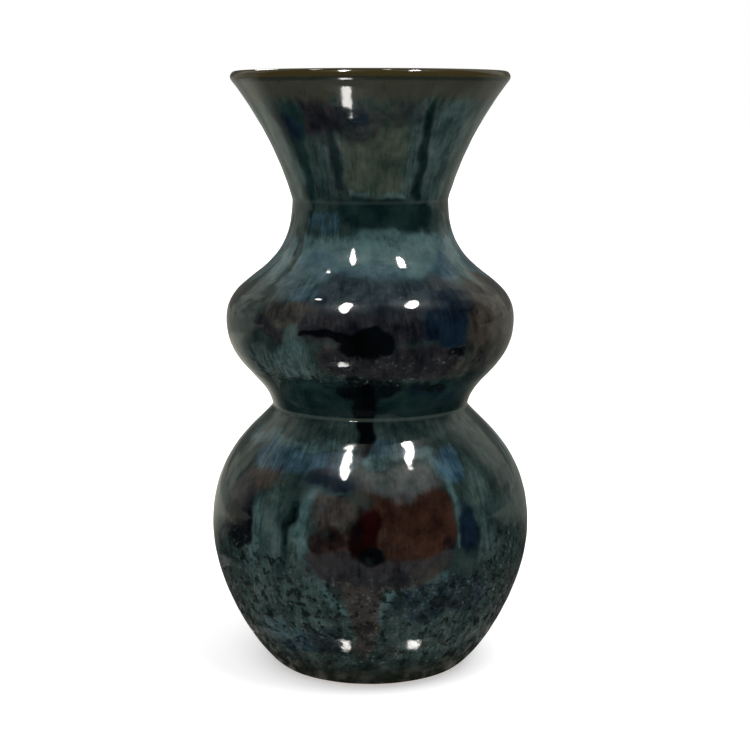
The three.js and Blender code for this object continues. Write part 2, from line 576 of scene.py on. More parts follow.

# Round the bulge: plum and brown, with a black bar that is a painted reflection of a dark figure in front, and
# below it a frost of streaks over a grey-brown band, which are a painted reflection of a lighter speckled top.
BULGE: tuple[Mark, ...] = (
    Trail(Tone.UMBER, ((-40, 190), (-28, 192), (-18, 193)), 5.0, 4.0, 0.8, 1.5),
    Pool(Tone.RUST, -27, 193, 12, 3.5, 2.4, -0.7, 1.5),
    Pool(Tone.PALE, -31, 192, 13, 6, 2.4, -0.8),
    Trail(Tone.PLUM, ((-24, 185), (5, 185), (24, 186)), 8.0, 8.0, 4.0, 2.0),
    Trail(Tone.PLUM, ((-46, 184), (-38, 180)), 4.0, 4.0, 2.0, 1.5),
    Pool(Tone.UMBER, 51, 184, 13, 14, 2.6, 3.0, 1.5),
    Pool(Tone.NAVY, 31, 184, 12.5, 10, 3.4, 5.0, 1.3),
    # Painted reflection: this black pool and the line left of it stand for a dark figure in front of the vase,
    # mirrored in the glaze.
    Pool(Tone.BLACK, -1, 177.5, 14, 8, 2.6, 5.0),
    Trail(Tone.BLACK, ((-28, 182), (-8, 181)), 1.8, 2.4, 3.0),
    Pool(Tone.BLACK, 36, 171.5, 6, 3.2, 2.0, 3.0),
    Pool(Tone.BLACK, -48, 175, 14, 5, 2.4, -0.3, 1.3),
    Trail(Tone.TEAL, ((-32, 184), (-31, 172), (-31, 160)), 3.6, 14.0, 3.0),
    Pool(Tone.MILK, -32, 168, 10, 9, 2.4, -0.9),
    # Painted reflection: a grey-brown band under the bulge that stands for a lighter speckled top in front.
    Trail(Tone.UMBER, ((-14, 168), (20, 167), (60, 168)), 8.5, 9.0, 0.3, 1.5),
    Trail(Tone.PLUM, ((-12, 167), (30, 167)), 8.0, 8.0, 1.6, 1.5),
    Trail(Tone.TEAL, ((-66, 166), (-46, 166)), 8.0, 8.0, 0.6, 1.5),
    Pool(Tone.PALE, 8, 191, 26, 4, 2.4, -1.3),
    # Painted reflection: pale frosts under the bulge that stand for the same speckled top.
    Pool(Tone.PALE, 24, 165, 50, 6, 4.0, -2.0),
    Pool(Tone.PALE, -52, 166, 16, 7, 3.0, -0.8),
)

# Under the bulge and on the globe's shoulder: a black funnel over a deep green band that is painted shade
# under the bulge, then teal, blue and plum.
WAIST: tuple[Mark, ...] = (
    # Painted shade: a deep green band all along the bulge's underside, above the waist's crease.
    Pool(Tone.DEEP, 0, 147, 90, 9.8, 8.0, 4.0, 0.7),
    Pool(Tone.BLACK, -1, 152.5, 17, 6, 2.2, 5.0, 1.5),
    Trail(Tone.BLACK, ((-1, 149), (-1, 136), (-0.5, 124)), 8.0, 2.0, 4.0, 1.5),
    Trail(Tone.NAVY, ((22, 153), (34, 150), (46, 146)), 3.0, 2.0, 1.0, 1.5),
    Trail(Tone.BLACK, ((20, 156), (36, 152)), 2.4, 2.0, 0.3, 1.5),
    Trail(Tone.MILK, ((-74, 124), (-40, 126), (-6, 125)), 1.8, 1.4, 0.2),
    Trail(Tone.MILK, ((2, 119), (12, 123), (26, 123)), 2.4, 2.4, 0.1),
    Trail(Tone.TEAL, ((-70, 131), (0, 131), (70, 131)), 3.0, 3.0, -0.2),
    Trail(Tone.BLUE, ((-50, 118), (-30, 118), (-9, 117)), 6.0, 5.0, 0.7, 1.5),
    Pool(Tone.BLUE, 35, 116, 7.5, 7, 2.4, 4.0, 1.2),
    Trail(Tone.BLUE, ((0, 124), (20, 126)), 2.0, 2.0, -0.2),
    Pool(Tone.UMBER, -46, 108, 14, 9, 2.4, 3.0, 2.0),
    Trail(Tone.DEEP, ((-61, 103), (-57, 112), (-52, 119)), 1.4, 1.0, 1.4),
    Trail(Tone.NAVY, ((-22, 109), (-8, 110)), 4.5, 3.5, 1.0, 1.5),
    Pool(Tone.PLUM, -10, 112, 9, 6, 2.4, 0.5, 1.5),
    Pool(Tone.PALE, -28, 117, 28, 6, 2.4, -1.0),
    Pool(Tone.PALE, 33, 118, 10, 6, 2.4, -0.8),
)

# The rust window with its dark heart, inside pale teal halos.
WINDOW: tuple[Mark, ...] = (
    Pool(Tone.TEAL, -38, 82, 9, 23, 2.6, 2.0, 1.5),
    Pool(Tone.TEAL, 44, 88, 6, 24, 2.4, 0.6, 1.5),
    Pool(Tone.UMBER, 2, 73, 36, 14, 2.4, 4.0, 1.5),
    Pool(Tone.PLUM, -2, 70, 30, 9, 2.4, 0.8, 2.0),
    Pool(Tone.PLUM, 18, 74, 14, 6, 2.4, 0.4, 2.0),
    Pool(Tone.UMBER, 12, 107, 22, 10, 2.4, 4.0, 1.3),
    Pool(Tone.UMBER, -13, 97, 11, 8, 2.4, 4.0),
    Pool(Tone.MILK, 13, 111, 16, 5, 2.4, -0.2, 1.2),
    Pool(Tone.RUST, -13, 98, 9, 5, 2.6, -0.2),
    Pool(Tone.RUST, 15, 90, 24.5, 15.5, 4.0, 5.0, 1.5),
    Pool(Tone.RUST, -13, 83, 13, 7, 2.6, 0.3, 1.5),
    Pool(Tone.GARNET, -2.5, 86, 7, 12.5, 2.8, 5.0, 1.2),
    Pool(Tone.BLACK, -5.5, 86, 2.5, 11, 2.4, 0.2, 1.2),
    Pool(Tone.BLACK, 1, 76, 5.5, 5.0, 2.0, 2.0, 1.4),
    Pool(Tone.PLUM, 27, 80, 7, 7, 2.4, 1.0, 1.5),
    Pool(Tone.BLACK, 28, 78, 4, 4, 2.4, -0.1, 1.2),
    Pool(Tone.PLUM, -15, 80, 10, 6, 2.4, 2.0, 1.5),
    Pool(Tone.BLACK, -15, 83, 11, 6, 2.4, 0.1, 1.5),
    Pool(Tone.NAVY, 37.5, 85, 6, 13, 2.4, 3.0, 1.3),
    Trail(
        Tone.MILK,
        ((-9, 109), (-17, 104), (-23, 97), (-25.5, 86), (-23, 72), (-16, 56), (-9, 46)),
        3.6,
        1.8,
        0.1,
        1.2,
    ),
    Trail(Tone.TEAL, ((-17, 104), (-24, 97), (-26.5, 86), (-25, 70), (-18, 52)), 5.0, 5.0, 1.6, 1.4),
    Trail(Tone.MILK, ((27, 119), (32, 108), (34.2, 97), (33.5, 76)), 2.4, 1.2, 0.2),
    Trail(Tone.MILK, ((27, 64), (14, 62), (6, 56), (3, 44)), 1.8, 2.4, 0.2, 1.2),
    Trail(Tone.DEEP, ((-27.5, 100), (-30, 90), (-31, 78), (-31, 62)), 2.8, 0.9, 3.0),
    Trail(Tone.BLACK, ((-28, 98), (-30, 88), (-30.5, 80)), 1.8, 0.8, 0.6),
    Pool(Tone.PLUM, -55, 90, 14, 15, 2.4, 2.5, 1.5),
    Pool(Tone.BLACK, -53, 84, 12, 10, 2.4, 0.5, 1.5),
    Trail(Tone.MILK, ((-45, 104), (-43, 84), (-46, 66)), 2.0, 2.0, -0.3),
    Pool(Tone.PALE, 13, 110, 19, 7, 2.4, 1.0, 1.6),
    Pool(Tone.PALE, -14, 98, 9, 6, 2.4, -0.5, 1.5),
    Pool(Tone.PALE, 10, 84, 9, 5, 2.0, -1.4, 1.5),
    Pool(Tone.PALE, 0, 69, 30, 7, 2.4, -1.3),
    Pool(Tone.PALE, -38, 84, 9, 22, 2.4, -1.5),
    Pool(Tone.PALE, 56, 92, 14, 26, 2.4, -1.3),
)

# Towards the foot: a mottle over teal that is partly a painted reflection of a speckled top, a brown tail and
# smears of navy.
LOWER: tuple[Mark, ...] = (
    Pool(Tone.TEAL, -36, 46, 28, 18, 2.4, 0.8, 2.0),
    Pool(Tone.TEAL, 30, 40, 28, 18, 2.4, 0.1, 2.0),
    Trail(Tone.UMBER, ((-2, 66), (-2, 42), (-3, 24)), 9.0, 4.0, 2.0, 1.6),
    Trail(Tone.PLUM, ((-2, 58), (-3, 32)), 6.0, 3.0, 0.2, 1.5),
    Pool(Tone.NAVY, 27, 52, 24, 10, 2.4, 0.2, 2.0),
    Pool(Tone.NAVY, -18, 30, 10, 7, 2.4, 0.2, 1.5),
    Pool(Tone.BLUE, -36, 30, 12, 6, 2.4, -0.6, 1.5),
    Pool(Tone.MOTTLE_AND_REFLECTION, -62, 64, 30, 24),
    Pool(Tone.MOTTLE_AND_REFLECTION, -34, 56, 16, 22),
    Pool(Tone.MOTTLE_AND_REFLECTION, 62, 60, 28, 22),
)

FRONT: tuple[Mark, ...] = FLARE + SHOULDER + BULGE + WAIST + WINDOW + LOWER

# The glazes of the front are laid twice more round the back, turned and raised, and one time mirrored, with
# the front's painted reflections and shade among them.
BEHIND: tuple[Mark, ...] = (
    *(mark.moved(122, -1, 1.5) for mark in FRONT),
    *(mark.moved(-131, 1, -2.0) for mark in FRONT),
)

# The mottle goes all round above the foot, partly as a painted reflection of a speckled top, and, fainter,
# under the bulge, where it is a painted reflection of that top.
RINGS: tuple[Mark, ...] = (
    Pool(Tone.MOTTLE_AND_REFLECTION, 0, 28, ALL_ROUND, 36, 2.0),
    # Painted reflection of the speckled top, all round under the bulge.
    Pool(Tone.MOTTLE_AND_REFLECTION, 0, 162, ALL_ROUND, 7, 2.0, 1.0),
)

SKIN = 0.4  # a vertex this share of a coat's thickness from its face, or nearer, is in the face


@dataclass
class GlazeCoat:
    """The outer glaze: one coat from just above the foot to over the lip.

    Attributes:
        outline: The vase's outline.
        spokes: How many steps its mesh has round the axis.
        ring_pitch: From one throwing ring to the next, measured up the surface.
        ring_depth: How deep the rings are.
        ring_even: How strong their wave is on average.
        ring_uneven: How much that varies.
        ring_peak: What is taken off the wave, to keep it under the outline.
        ring_patch: The size of the parts where the rings are stronger or weaker.
        wobble: How far the form is off round.
        wobble_size: The size of a wobble.
        run_height: How far a run of glaze stands proud.
        run_shoulder: How far inside a run it stands fully so.
        drift: How far the marks' edges stray.
        foot_fade: How far above the ground all that starts.
        lip_fade: How far below the top it ends.
        roll_rows: How many rows the lip's roll has.
        back_coarser: How many times fewer rows the coat's back has.
    """

    outline: Outline
    spokes: int = 240
    ring_pitch: float = 11.0
    ring_depth: float = 0.03
    ring_even: float = 0.8
    ring_uneven: float = 0.5
    ring_peak: float = 1.6
    ring_patch: float = 34.0
    wobble: float = 0.12
    wobble_size: float = 30.0
    run_height: float = 0.12
    run_shoulder: float = 2.0
    drift: float = 1.6
    foot_fade: float = 6.0
    lip_fade: float = 8.0
    roll_rows: int = 14
    back_coarser: int = 4

    def build(self) -> bpy.types.Object:
        """The coat's mesh, with the rings and runs in its face and a field for each glaze.

        Returns:
            The coat.
        """
        shape = self.outline
        short = shape.slit / shape.lip_roll
        profile = [
            *shape.outside(0),
            *shape.roll(0, self.roll_rows, short),
            *reversed(shape.roll(shape.glaze, self.roll_rows // 2, short)),
            *reversed(shape.outside(shape.glaze, self.back_coarser)),
        ]
        piece = turned("glaze_coat", profile, self.spokes, closed=True)
        self._lay_glazes(piece)
        self._raise(piece)
        return piece

    def _lay_glazes(self, piece: bpy.types.Object) -> None:
        """Writes each glaze's field to the mesh.

        Args:
            piece: The coat.
        """
        places = places_of(piece)
        radius, around = polar(places)
        aside = stray(places, broad=16, narrow=6, seed=3)
        turn = np.degrees(around + self.drift * aside / radius)
        height = places[:, 2] + self.drift * stray(places, broad=14, narrow=5, seed=5)
        marks = (*FRONT, *BEHIND, *RINGS)
        self.fields: dict[Tone, np.ndarray] = {}
        for tone in Tone:
            covers = [mark.cover(turn, height, radius) for mark in marks if mark.tone is tone]
            value = np.clip(np.max(covers, axis=0), -DEEPEST, DEEPEST)
            self.fields[tone] = value
            layer = piece.data.attributes.new(tone.value, "FLOAT", "POINT")
            layer.data.foreach_set("value", value)

    def _raise(self, piece: bpy.types.Object) -> None:
        """Moves the outer face: throwing rings, a slight wobble and the thicker runs.

        Args:
            piece: The coat.
        """
        places = places_of(piece)
        radius, turn = polar(places)
        height = places[:, 2]
        line = self.outline.outside(0)
        steps = [(after - before).length for before, after in zip(line, line[1:])]
        levels = [point.y for point in line]
        along = np.interp(height, levels, np.cumsum([0.0, *steps]))
        surface = np.interp(height, levels, [point.x for point in line])
        uneven = sway_over(places, self.ring_patch, seed=7)
        strength = self.ring_even + self.ring_uneven * uneven
        rings = np.sin(2 * math.pi * along / self.ring_pitch + turn + uneven) * strength
        wave = np.clip(sway_over(places, self.wobble_size, seed=8) / 2, -1, 1)
        thick = np.maximum(self.fields[Tone.BLACK], self.fields[Tone.DEEP])
        runs = np.clip(thick / self.run_shoulder, 0, 1)
        amount = self.ring_depth * (rings - self.ring_peak) + self.wobble * (wave - 1)
        amount += self.run_height * (runs - 1)
        below_lip = np.clip((self.outline.top - height) / self.lip_fade, 0, 1)
        above_foot = np.clip(height / self.foot_fade, 0, 1)
        outer = surface - radius < self.outline.glaze * SKIN
        move_out(piece, np.where(outer, np.minimum(amount, 0) * below_lip * above_foot, 0))


@dataclass
class Liner:
    """The glaze that lines the inside, from the floor of the vase to the lip.

    Attributes:
        outline: The vase's outline.
        spokes: How many steps its mesh has round the axis.
        coarser: How many times fewer rows it has than the outer glaze.
        floor_rows: How many steps there are across its floor.
        ring_pitch: How much higher each throwing ring is than the last.
        ring_depth: How deep the rings are.
        ring_patch: The size of the parts that they stray over.
        lip_fade: How far below the top they end.
        floor_clear: How far above the floor they start.
    """

    outline: Outline
    spokes: int = 160
    coarser: int = 2
    floor_rows: int = 10
    ring_pitch: float = 7.0
    ring_depth: float = 0.25
    ring_patch: float = 30.0
    lip_fade: float = 12.0
    floor_clear: float = 0.1

    def build(self) -> bpy.types.Object:
        """The liner's mesh, closed on the axis, with the throwing rings in its face.

        Returns:
            The liner.
        """
        back = self.outline.inside(self.outline.glaze, self.coarser)
        face = self.outline.inside(0, self.coarser)
        profile = [
            Vector((0, back[0].y)),
            *self._floor(back[0]),
            *back,
            *reversed(face),
            *reversed(self._floor(face[0])),
            Vector((0, face[0].y)),
        ]
        piece = turned("liner_coat", profile, self.spokes, closed=False)
        self._ring(piece, face)
        return piece

    def _floor(self, edge: Vector) -> list[Vector]:
        """Points across the floor from near the axis to near its edge."""
        return [Vector((edge.x * row / self.floor_rows, edge.y)) for row in range(1, self.floor_rows)]

    def _ring(self, piece: bpy.types.Object, face: list[Vector]) -> None:
        """Presses shallow throwing rings into the inner face.

        Args:
            piece: The liner.
            face: The line of its inner face, from the foot up.
        """
        places = places_of(piece)
        radius, turn = polar(places)
        height = places[:, 2]
        surface = np.interp(height, [point.y for point in face], [point.x for point in face])
        uneven = sway_over(places, self.ring_patch, seed=9)
        rings = (1 + np.sin(2 * math.pi * height / self.ring_pitch - turn + uneven)) / 2
        below_lip = np.clip((self.outline.top - height) / self.lip_fade, 0, 1)
        in_face = radius - surface < self.outline.glaze * SKIN
        above_floor = height > face[0].y + self.floor_clear
        move_out(piece, np.where(in_face & above_floor, -self.ring_depth * rings * below_lip, 0))


@dataclass
class Clay:
    """The three thrown sections of clay and the stepped joints between them.

    Attributes:
        outline: The vase's outline.
        tongue: How high each joint's tongue is.
        ring_width: The width of the foot ring.
        ring_height: How far the base is hollowed inside it.
        chamfer: The bevel on the foot ring's edges.
        tooling: How deep the turning tool's steps in the base are.
        tooling_wave: How many radians of them there are across it.
        base_rows: How many rows the base has.
        roll_rows: How many rows the lip's roll has.
        roll_clear: How far under the end of the roll the inner face stops.
        coarser: How many times fewer rows the walls have than the outer glaze.
        spokes: How many steps the meshes have round the axis.
    """

    outline: Outline
    tongue: float = 6.0
    ring_width: float = 7.0
    ring_height: float = 2.4
    chamfer: float = 0.6
    tooling: float = 0.25
    tooling_wave: float = 14.0
    base_rows: int = 8
    roll_rows: int = 8
    roll_clear: float = 0.05
    coarser: int = 2
    spokes: int = 160

    def build(self) -> dict[str, bpy.types.Object]:
        """The three sections, by the name of the frame's node that each stands for.

        Returns:
            The sections.
        """
        shape = self.outline
        self.outer = shape.outside(shape.clay_depth, self.coarser)
        self.inner = shape.inside(shape.clay_depth, self.coarser)
        return {"lower_globe": self._globe(), "middle_bulge": self._bulge(), "flared_neck": self._neck()}

    def _seat(self, radius: float, level: float) -> list[Vector]:
        """The lower side of a joint: the corner of its seat and the top of its tongue.

        Args:
            radius: The outline's radius at the joint.
            level: The seat's height.

        Returns:
            The two corners, from the outside in.
        """
        middle = radius - self.outline.wall / 2
        return [Vector((middle, level)), Vector((middle, level + self.tongue))]

    def _socket(self, radius: float, level: float) -> list[Vector]:
        """The upper side of a joint, a slit away from the lower one, from the inside out.

        Args:
            radius: The outline's radius at the joint.
            level: The seat's height.

        Returns:
            The two corners.
        """
        middle = radius - self.outline.wall / 2 + self.outline.slit
        low = level + self.outline.slit
        return [Vector((middle, low + self.tongue)), Vector((middle, low))]

    def _globe(self) -> bpy.types.Object:
        """The globe with its foot ring and hollowed base.

        Returns:
            The globe's clay.
        """
        shape = self.outline
        top = shape.waist_level
        ring_inside = shape.foot_radius - self.ring_width
        shares = [row / self.base_rows for row in range(self.base_rows)]
        profile = [
            *(Vector((ring_inside * share, self._hollow(share))) for share in shares),
            Vector((ring_inside - self.chamfer, self.ring_height)),
            Vector((ring_inside, self.chamfer)),
            Vector((ring_inside + self.chamfer, 0)),
            Vector((shape.foot_radius - self.chamfer, 0)),
            Vector((shape.foot_radius, self.chamfer)),
            *between(self.outer, 0, top),
            *self._seat(shape.waist_radius, top),
            *reversed(between(self.inner, 0, top + self.tongue)),
            Vector((self.inner[0].x / 2, self.inner[0].y)),
            Vector((0, self.inner[0].y)),
        ]
        return turned("globe_clay", profile, self.spokes, closed=False)

    def _hollow(self, share: float) -> float:
        """The height of the base's underside, which the turning tool left in shallow steps."""
        return self.ring_height + self.tooling * math.cos(share * self.tooling_wave)

    def _bulge(self) -> bpy.types.Object:
        """The bulge, from its socket over the globe to its seat under the neck.

        Returns:
            The bulge's clay.
        """
        shape = self.outline
        low, top = shape.waist_level + shape.slit, shape.neck_level
        profile = [
            *self._socket(shape.waist_radius, shape.waist_level),
            *between(self.outer, low, top),
            *self._seat(shape.neck_radius, top),
            *reversed(between(self.inner, low + self.tongue, top + self.tongue)),
        ]
        return turned("bulge_clay", profile, self.spokes, closed=True)

    def _neck(self) -> bpy.types.Object:
        """The flared neck, from its socket over the bulge to the rolled lip.

        Returns:
            The neck's clay.
        """
        shape = self.outline
        low = shape.neck_level + shape.slit
        profile = [
            *self._socket(shape.neck_radius, shape.neck_level),
            *between(self.outer, low, shape.top),
            *shape.roll(shape.clay_depth, self.roll_rows),
            *reversed(between(self.inner, low + self.tongue, self.inner[-1].y - self.roll_clear)),
        ]
        return turned("neck_clay", profile, self.spokes, closed=True)


# ---------------------------------------------------------------------------------------------
# Shader values
# ---------------------------------------------------------------------------------------------

GRAIN_RADIUS = 62.0  # the radius that streaks are spaced at
FINE_SQUASH = 0.16  # the height's share of its own size in the finest streaks, which makes them long
STREAK_SQUASH = 0.28  # the same in the broader ones
NOISE_SPREAD = 3.0  # brings the noise to about -1 to 1
MIX_SHARE, MIX_UNDER, MIX_OVER, MIX_RESULT = 0, 6, 7, 2  # a Mix node's sockets when it mixes colours

Number = Union["Signal", float]
Colour = tuple[float, float, float, float]
Span = tuple[float, float]  # where something starts to fade in or out, and where it has


class Signal:
    """A shader socket that Python's operators add Math nodes to."""

    def __init__(self, tree: "Tree", socket: bpy.types.NodeSocket) -> None:
        """Wraps an output socket of a tree."""
        self.tree = tree
        self.socket = socket

    def maths(self, operation: str, *others: Number, first: bool = True) -> "Signal":
        """Adds a Math node.

        Args:
            operation: The node's operation.
            others: Its other inputs.
            first: Whether this signal is the node's first input.

        Returns:
            The node's result.
        """
        values = (self, *others) if first else (*others, self)
        made = self.tree.node("ShaderNodeMath", {"operation": operation}, dict(enumerate(values)))
        return Signal(self.tree, made.outputs[0])

    def __add__(self, other: Number) -> "Signal":
        """The sum."""
        return self.maths("ADD", other)

    __radd__ = __add__

    def __sub__(self, other: Number) -> "Signal":
        """The difference."""
        return self.maths("SUBTRACT", other)

    def __rsub__(self, other: Number) -> "Signal":
        """A number minus this."""
        return self.maths("SUBTRACT", other, first=False)

    def __mul__(self, other: Number) -> "Signal":
        """The product."""
        return self.maths("MULTIPLY", other)

    __rmul__ = __mul__

    def __truediv__(self, other: Number) -> "Signal":
        """The quotient."""
        return self.maths("DIVIDE", other)

    def __pow__(self, other: Number) -> "Signal":
        """A power."""
        return self.maths("POWER", other)

    def __abs__(self) -> "Signal":
        """The size without the sign."""
        return self.maths("ABSOLUTE")

    def rise(self, low: float, high: float) -> "Signal":
        """0 up to one value and 1 past another, with a smooth step between them.

        Args:
            low: Where the step starts.
            high: Where it ends.

        Returns:
            The step.
        """
        made = self.tree.node(
            "ShaderNodeMapRange",
            {"interpolation_type": "SMOOTHSTEP"},
            {"Value": self, "From Min": low, "From Max": high, "To Min": 0.0, "To Max": 1.0},
        )
        return Signal(self.tree, made.outputs["Result"])


class Tree:
    """The parts that any node tree is made with."""

    def __init__(self, owner: Union[bpy.types.Material, bpy.types.World]) -> None:
        """Starts an empty tree in a material or a world.

        Args:
            owner: The material or the world.
        """
        owner.use_nodes = True
        self.nodes = owner.node_tree.nodes
        self.links = owner.node_tree.links
        self.nodes.clear()

    def node(self, kind: str, settings: dict | None = None, inputs: dict | None = None) -> bpy.types.Node:
        """Adds a node.

        Args:
            kind: The node's type.
            settings: Its own settings, which are set first.
            inputs: A value, a Signal or a socket for each named or numbered input.

        Returns:
            The node.
        """
        made = self.nodes.new(kind)
        for name, value in (settings or {}).items():
            setattr(made, name, value)
        for name, value in (inputs or {}).items():
            self.feed(made.inputs[name], value)
        return made

    def feed(self, target: bpy.types.NodeSocket, value: object) -> None:
        """Links or sets one input.

        Args:
            target: The input.
            value: A Signal or a socket to link, or a value to set.
        """
        if isinstance(value, Signal):
            self.links.new(value.socket, target)
        elif isinstance(value, bpy.types.NodeSocket):
            self.links.new(value, target)
        else:
            target.default_value = value

    def mix(self, share: Number, under: object, over: object, blend: str = "MIX") -> Signal:
        """Lays one colour over another.

        Args:
            share: How much of the upper one shows.
            under: The lower colour, a Signal or four numbers.
            over: The upper one.
            blend: How they blend.

        Returns:
            The mixed colour.
        """
        settings = {"data_type": "RGBA", "blend_type": blend}
        made = self.node("ShaderNodeMix", settings, {MIX_SHARE: share, MIX_UNDER: under, MIX_OVER: over})
        return Signal(self, made.outputs[MIX_RESULT])

    def axes(self, where: object) -> tuple[Signal, ...]:
        """The three parts of a place or a direction.

        Args:
            where: A Signal or a socket.

        Returns:
            Its x, y and z.
        """
        split = self.node("ShaderNodeSeparateXYZ", inputs={0: where})
        return tuple(Signal(self, split.outputs[axis]) for axis in "XYZ")


@dataclass(frozen=True)
class Grain:
    """A pattern of noise.

    Attributes:
        size: The size of a feature.
        detail: How many finer octaves are added.
        rough: How strong those are.
    """

    size: float
    detail: float = 3.0
    rough: float = 0.55


class FinishTree(Tree):
    """The node tree of one new material."""

    def __init__(self, name: str) -> None:
        """Makes the material, and starts its tree with the output and main shader.

        Args:
            name: The material's name.
        """
        self.material = bpy.data.materials.new(name)
        super().__init__(self.material)
        self.shader = self.node("ShaderNodeBsdfPrincipled")
        self.end = self.node("ShaderNodeOutputMaterial", inputs={"Surface": self.shader.outputs["BSDF"]})

    def place(self, scale: tuple[float, float, float] = (1, 1, 1)) -> Signal:
        """The place on the object in millimetres, each axis times a scale.

        Args:
            scale: What each axis is multiplied by.

        Returns:
            The place.
        """
        where = self.node("ShaderNodeTexCoord").outputs["Object"]
        per_mm = [axis / MM for axis in scale]
        made = self.node("ShaderNodeVectorMath", {"operation": "MULTIPLY"}, {0: where, 1: per_mm})
        return Signal(self, made.outputs[0])

    def grain_place(self, height: Signal, squash: float) -> Signal:
        """A place whose patterns run up the surface: the way round at one radius, and the squashed height.

        Args:
            height: The height on the object.
            squash: What it is multiplied by.

        Returns:
            The place.
        """
        flat = self.node("ShaderNodeVectorMath", {"operation": "NORMALIZE"}, {0: self.place((1, 1, 0))})
        settings = {"operation": "SCALE"}
        ring = self.node("ShaderNodeVectorMath", settings, {0: flat.outputs[0], "Scale": GRAIN_RADIUS})
        rise = self.node("ShaderNodeCombineXYZ", inputs={"Z": height * squash})
        parts = {0: ring.outputs[0], 1: rise.outputs[0]}
        made = self.node("ShaderNodeVectorMath", {"operation": "ADD"}, parts)
        return Signal(self, made.outputs[0])

    def height(self) -> Signal:
        """The height on the object in millimetres."""
        return self.axes(self.place())[2]

    def noise(self, where: Signal, grain: Grain) -> Signal:
        """Noise from about -1 to 1 over places in millimetres.

        Args:
            where: The place.
            grain: The pattern.

        Returns:
            The noise.
        """
        inputs = {"Vector": where, "Scale": 1 / grain.size, "Detail": grain.detail, "Roughness": grain.rough}
        made = self.node("ShaderNodeTexNoise", inputs=inputs)
        return (Signal(self, made.outputs["Fac"]) - 0.5) * NOISE_SPREAD

    def field(self, name: str) -> Signal:
        """A field that the mesh carries."""
        made = self.node("ShaderNodeAttribute", {"attribute_name": name})
        return Signal(self, made.outputs["Fac"])

    def bump(self, height: Signal, distance: float, strength: float) -> Signal:
        """A normal from a height, with a distance in millimetres."""
        inputs = {"Height": height, "Distance": distance * MM, "Strength": strength}
        return Signal(self, self.node("ShaderNodeBump", inputs=inputs).outputs["Normal"])

    def dressed(self, colour: Signal, roughness: Signal, normal: Signal) -> bpy.types.Material:
        """Feeds the main shader, and gives the finished material.

        Args:
            colour: Its colour.
            roughness: How dull its shine is.
            normal: The way that it faces.

        Returns:
            The material.
        """
        self.feed(self.shader.inputs["Base Color"], colour)
        self.feed(self.shader.inputs["Roughness"], roughness)
        self.feed(self.shader.inputs["Normal"], normal)
        return self.material


def hue(red: float, green: float, blue: float) -> Colour:
    """An opaque colour in linear light."""
    return (red, green, blue, 1.0)


UNLIT = hue(0, 0, 0)


# ---------------------------------------------------------------------------------------------
# Finishes
# ---------------------------------------------------------------------------------------------


@dataclass(frozen=True)
class Shade:
    """One glaze colour: its thin and its thick shade, and how its edge runs.

    Attributes:
        thin: Where it is thin.
        thick: Where it is thick.
        edge: Half the width of its edge.
        feather: How far the streaks carry its edge.
        fine: How much of that is the finest streaks.
        furred: How much the streaks show inside it.
        solid: How much of what lies under it it hides.
    """

    thin: Colour
    thick: Colour
    edge: float
    feather: float
    fine: float = 0.5
    furred: float = 0.4
    solid: float = 1.0


SHADES: dict[Tone, Shade] = {
    Tone.OLIVE: Shade(hue(0.044, 0.056, 0.043), hue(0.014, 0.023, 0.018), 2.0, 2.5, 0.5, 0.3),
    Tone.TEAL: Shade(hue(0.042, 0.066, 0.061), hue(0.008, 0.020, 0.019), 1.6, 2.4),
    Tone.MILK: Shade(hue(0.074, 0.126, 0.127), hue(0.026, 0.058, 0.062), 1.5, 2.4, 0.4, 0.15),
    Tone.UMBER: Shade(hue(0.041, 0.035, 0.029), hue(0.008, 0.006, 0.005), 1.4, 2.0, 0.4, 0.25),
    Tone.PLUM: Shade(hue(0.018, 0.017, 0.019), hue(0.002, 0.003, 0.005), 1.4, 2.2),
    Tone.RUST: Shade(hue(0.030, 0.014, 0.009), hue(0.008, 0.003, 0.002), 1.2, 1.4, 0.3, 0.12),
    Tone.DEEP: Shade(hue(0.008, 0.021, 0.019), hue(0.001, 0.006, 0.006), 0.8, 1.2, 0.3, 0.15),
    Tone.BLUE: Shade(hue(0.038, 0.088, 0.124), hue(0.006, 0.024, 0.042), 2.2, 3.0, 0.5, 0.4, 0.85),
    Tone.NAVY: Shade(hue(0.004, 0.011, 0.020), hue(0.001, 0.002, 0.005), 1.4, 2.2),
    Tone.GARNET: Shade(hue(0.009, 0.001, 0.001), hue(0.001, 0.000, 0.000), 1.1, 1.1, 0.3, 0.1),
    Tone.BLACK: Shade(hue(0.001, 0.002, 0.003), hue(0.000, 0.000, 0.000), 0.8, 1.2, 0.3, 0.2),
    Tone.PALE: Shade(hue(0.105, 0.132, 0.132), hue(0.040, 0.062, 0.064), 1.6, 1.8, 0.35, 0.2, 0.45),
}


